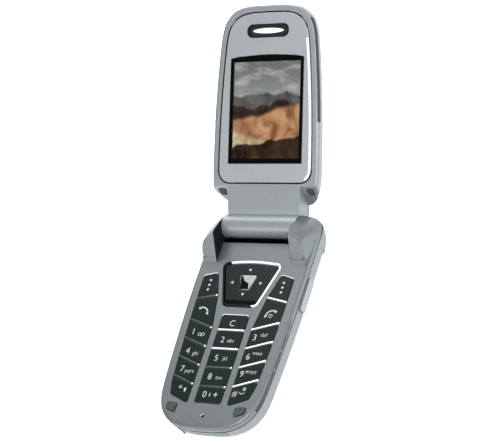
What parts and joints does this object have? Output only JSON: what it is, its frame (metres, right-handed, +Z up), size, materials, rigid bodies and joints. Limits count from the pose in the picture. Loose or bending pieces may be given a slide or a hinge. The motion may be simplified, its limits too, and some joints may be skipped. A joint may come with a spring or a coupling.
{
  "type": "clamshell mobile phone",
  "caption": "Open clamshell phone: base with keypad, side keys, battery cover and connector flap, hinged to a lid with a display, an earpiece and a rear camera.",
  "frame": {"origin": "middle of the flat back of the base, on the surface that the phone lies on", "axes": "+X to the right of the keypad, +Y from the bottom end towards the hinge and the lid, +Z up out of the keypad face"},
  "size_m": [0.0514, 0.1693, 0.0576],
  "materials": {
    "silver_paint": "satin silver paint over moulded plastic",
    "grey_paint": "satin grey paint over moulded plastic",
    "rear_paint": "satin grey paint, slightly darker",
    "key_dark": "dark tinted clear plastic, satin",
    "chrome_trim": "bright plated plastic",
    "confirm_metal": "mirror-like plated cap",
    "side_key_paint": "light grey satin",
    "dark_inlay": "matt dark grey",
    "rubber_pad": "matt grey-green rubber",
    "clear_window": "polished acrylic, dark printed border",
    "speaker_mesh": "fine woven steel",
    "circuit_board": "green solder mask",
    "flex_film": "amber polyimide film",
    "silicone_mat": "translucent silicone rubber",
    "polyester_film": "white polyester film with steel domes",
    "tinned_steel": "tinned sheet",
    "hinge_steel": "ground steel",
    "zinc_screw": "black zinc",
    "battery_wrap": "shrink film over an aluminium can",
    "gold_contact": "gold flash",
    "module_black": "black moulding",
    "module_grey": "grey moulding with a steel frame"
  },
  "bodies": {
    "base": {"front_case": "grey_paint", "rear_case": "rear_paint", "keypad_mat": "silicone_mat", "dome_sheet": "polyester_film", "main_board": "circuit_board", "nav_frame": "chrome_trim", "key_dividers": "chrome_trim", "side_trim": "dark_inlay", "base_bumpers": "rubber_pad", "shield_cans": "tinned_steel", "battery_cell": "battery_wrap", "battery_contacts": "gold_contact", "vibration_motor": "hinge_steel", "antenna": "flex_film", "loudspeaker": "module_black", "microphone": "gold_contact", "system_connector": "tinned_steel", "hinge_cam_pin": "hinge_steel", "hinge_bush": "hinge_steel", "hinge_flex": "flex_film", "case_screws": "zinc_screw"},
    "cover": {"battery_cover": "rear_paint"},
    "flap": {"connector_flap": "rear_paint"},
    "nav_rocker": {"nav_actuator": "hinge_steel"},
    "nav": {"nav_key": "key_dark"},
    "ok": {"ok_key": "confirm_metal"},
    "soft_left": {"soft_key_left": "key_dark"},
    "soft_right": {"soft_key_right": "key_dark"},
    "send": {"send_key": "key_dark"},
    "end": {"end_key": "key_dark"},
    "clear": {"clear_key": "key_dark"},
    "digit_1": {"key_1": "key_dark"},
    "digit_2": {"key_2": "key_dark"},
    "digit_3": {"key_3": "key_dark"},
    "digit_4": {"key_4": "key_dark"},
    "digit_5": {"key_5": "key_dark"},
    "digit_6": {"key_6": "key_dark"},
    "digit_7": {"key_7": "key_dark"},
    "digit_8": {"key_8": "key_dark"},
    "digit_9": {"key_9": "key_dark"},
    "star": {"key_star": "key_dark"},
    "digit_0": {"key_0": "key_dark"},
    "hash": {"key_hash": "key_dark"},
    "side": {"side_key": "side_key_paint"},
    "volume": {"volume_key": "side_key_paint"},
    "lid": {"lid_front_case": "silver_paint", "lid_rear_case": "silver_paint", "lid_panel": "silver_paint", "display_window": "clear_window", "display_module": "module_grey", "earpiece_trim": "chrome_trim", "earpiece_grille": "speaker_mesh", "earpiece_speaker": "module_black", "lid_bumpers": "rubber_pad", "lid_board": "circuit_board", "hinge_cartridge": "hinge_steel", "outer_window": "clear_window", "outer_display": "module_grey", "camera_bezel": "chrome_trim", "camera_module": "module_black"}
  },
  "joints": [
    {"name": "lid_hinge", "type": "hinge", "parent": "base", "child": "lid", "pos_m": [0, 0.045, 0.0124], "axis": [1, 0, 0], "range_deg": [0, 150]},
    {"name": "cover_slide", "type": "slide", "parent": "base", "child": "cover", "axis": [0, -1, 0], "range_m": [0, 0.006]},
    {"name": "flap_hinge", "type": "hinge", "parent": "base", "child": "flap", "pos_m": [-0.0106, -0.04412, 0.006], "axis": [0, 0, -1], "range_deg": [0, 80]},
    {"name": "nav_left_right", "type": "hinge", "parent": "base", "child": "nav_rocker", "pos_m": [0, 0.019, 0.00955], "axis": [0, 1, 0], "range_deg": [-0.9, 0.9], "stiffness_Nm_per_rad": 0.3},
    {"name": "nav_up_down", "type": "hinge", "parent": "nav_rocker", "child": "nav", "pos_m": [0, 0.019, 0.00955], "axis": [1, 0, 0], "range_deg": [-0.9, 0.9], "stiffness_Nm_per_rad": 0.3},
    {"name": "ok_press", "type": "slide", "parent": "base", "child": "ok", "axis": [0, 0, -1], "range_m": [0, 0.00035], "stiffness_N_per_m": 3000},
    {"name": "soft_left_press", "type": "slide", "parent": "base", "child": "soft_left", "axis": [0, 0, -1], "range_m": [0, 0.00035], "stiffness_N_per_m": 3000},
    {"name": "soft_right_press", "type": "slide", "parent": "base", "child": "soft_right", "axis": [0, 0, -1], "range_m": [0, 0.00035], "stiffness_N_per_m": 3000},
    {"name": "send_press", "type": "slide", "parent": "base", "child": "send", "axis": [0, 0, -1], "range_m": [0, 0.00035], "stiffness_N_per_m": 3000},
    {"name": "end_press", "type": "slide", "parent": "base", "child": "end", "axis": [0, 0, -1], "range_m": [0, 0.00035], "stiffness_N_per_m": 3000},
    {"name": "clear_press", "type": "slide", "parent": "base", "child": "clear", "axis": [0, 0, -1], "range_m": [0, 0.00035], "stiffness_N_per_m": 3000},
    {"name": "digit_1_press", "type": "slide", "parent": "base", "child": "digit_1", "axis": [0, 0, -1], "range_m": [0, 0.00035], "stiffness_N_per_m": 3000},
    {"name": "digit_2_press", "type": "slide", "parent": "base", "child": "digit_2", "axis": [0, 0, -1], "range_m": [0, 0.00035], "stiffness_N_per_m": 3000},
    {"name": "digit_3_press", "type": "slide", "parent": "base", "child": "digit_3", "axis": [0, 0, -1], "range_m": [0, 0.00035], "stiffness_N_per_m": 3000},
    {"name": "digit_4_press", "type": "slide", "parent": "base", "child": "digit_4", "axis": [0, 0, -1], "range_m": [0, 0.00035], "stiffness_N_per_m": 3000},
    {"name": "digit_5_press", "type": "slide", "parent": "base", "child": "digit_5", "axis": [0, 0, -1], "range_m": [0, 0.00035], "stiffness_N_per_m": 3000},
    {"name": "digit_6_press", "type": "slide", "parent": "base", "child": "digit_6", "axis": [0, 0, -1], "range_m": [0, 0.00035], "stiffness_N_per_m": 3000},
    {"name": "digit_7_press", "type": "slide", "parent": "base", "child": "digit_7", "axis": [0, 0, -1], "range_m": [0, 0.00035], "stiffness_N_per_m": 3000},
    {"name": "digit_8_press", "type": "slide", "parent": "base", "child": "digit_8", "axis": [0, 0, -1], "range_m": [0, 0.00035], "stiffness_N_per_m": 3000},
    {"name": "digit_9_press", "type": "slide", "parent": "base", "child": "digit_9", "axis": [0, 0, -1], "range_m": [0, 0.00035], "stiffness_N_per_m": 3000},
    {"name": "star_press", "type": "slide", "parent": "base", "child": "star", "axis": [0, 0, -1], "range_m": [0, 0.00035], "stiffness_N_per_m": 3000},
    {"name": "digit_0_press", "type": "slide", "parent": "base", "child": "digit_0", "axis": [0, 0, -1], "range_m": [0, 0.00035], "stiffness_N_per_m": 3000},
    {"name": "hash_press", "type": "slide", "parent": "base", "child": "hash", "axis": [0, 0, -1], "range_m": [0, 0.00035], "stiffness_N_per_m": 3000},
    {"name": "side_press", "type": "slide", "parent": "base", "child": "side", "axis": [-1, 0, 0], "range_m": [0, 0.00035], "stiffness_N_per_m": 3000},
    {"name": "volume_press", "type": "slide", "parent": "base", "child": "volume", "axis": [1, 0, 0], "range_m": [0, 0.00035], "stiffness_N_per_m": 3000}
  ]
}
